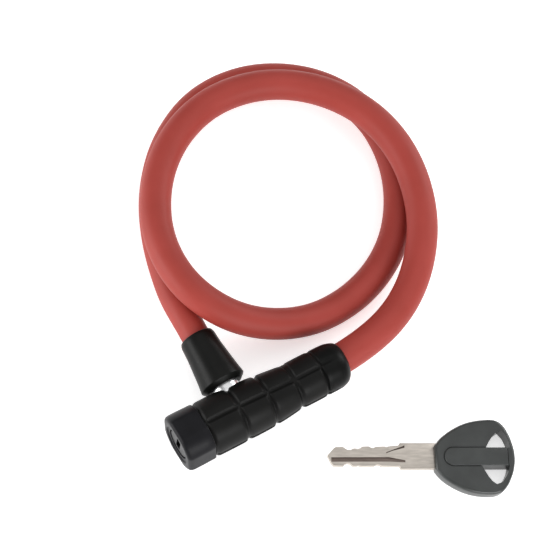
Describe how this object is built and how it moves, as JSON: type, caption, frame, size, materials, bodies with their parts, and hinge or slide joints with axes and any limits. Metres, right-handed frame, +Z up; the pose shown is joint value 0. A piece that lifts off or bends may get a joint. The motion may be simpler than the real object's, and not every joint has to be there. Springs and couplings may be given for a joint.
{
  "type": "cable lock",
  "caption": "Keyed bicycle cable lock: sheathed steel cable in an open double loop, ribbed barrel body with a push-in locking pin, and its key.",
  "frame": {"origin": "on the table, below the centre of the box round the lock body, the ferrule and the key; the free cable is not counted", "axes": "+Z up from the table; +X along the longest side of that box, from the keyway end of the body towards the key's bow; +Y towards the cable loop"},
  "size_m": [0.1437, 0.1756, 0.0264],
  "materials": {
    "cable_red": "matt soft sheath",
    "wire_rope": "bare stranded wire",
    "cover": "satin soft-touch",
    "cap": "satin",
    "collar": "satin",
    "ferrule": "satin",
    "casting": "die-cast zinc",
    "steel": "bright turned",
    "brass": "machined",
    "dark_metal": "blackened",
    "key_metal": "nickel plated, warm satin",
    "key_plastic": "satin"
  },
  "bodies": {
    "root": {"soft_cover": "cover", "end_cap": "cap", "rear_collar": "collar", "lock_housing": "casting", "bolt_cover": "casting", "sleeve_screw": "steel", "cylinder_sleeve": "brass", "pin_bush": "steel", "cable_crimp": "steel", "cross_pins": "steel", "cable_jacket": "cable_red", "cable_core": "wire_rope"},
    "plug": {"plug": "dark_metal", "plug_clip": "steel", "cam": "brass"},
    "upper_wafers": {"upper_wafers": "brass"},
    "lower_wafers": {"lower_wafers": "brass"},
    "bolt": {"locking_bolt": "steel"},
    "pin": {"locking_pin": "steel", "ferrule": "ferrule"},
    "key": {"key_blade": "key_metal", "key_bow": "key_plastic", "key_panel": "key_plastic"}
  },
  "joints": [
    {"name": "plug_turn", "type": "hinge", "parent": "root", "child": "plug", "pos_m": [-0.0612, -0.0155, 0.0108], "axis": [0.866, 0.5, 0], "range_deg": [0, 90]},
    {"name": "bolt_slide", "type": "slide", "parent": "root", "child": "bolt", "axis": [0, 0, 1], "range_m": [0, 0.0037]},
    {"name": "pin_release", "type": "slide", "parent": "root", "child": "pin", "axis": [-0.5, 0.866, 0], "range_m": [0, 0.02], "deforming": ["cable_jacket", "cable_core"]},
    {"name": "wafer_lift", "type": "slide", "parent": "plug", "child": "upper_wafers", "axis": [0, 0, 1], "range_m": [0, 0.0008], "stiffness_N_per_m": 50, "springref_m": -0.001},
    {"name": "lower_wafer_drop", "type": "slide", "parent": "plug", "child": "lower_wafers", "axis": [0, 0, -1], "range_m": [0, 0.0008]},
    {"name": "key_lift", "type": "slide", "parent": "root", "child": "key", "axis": [0, 0, 1], "range_m": [0, 0.05]}
  ],
  "couplings": [
    {"joint": "bolt_slide", "follows": "plug_turn", "m_per_rad": 0.0023408},
    {"joint": "lower_wafer_drop", "follows": "wafer_lift", "ratio": 1}
  ]
}
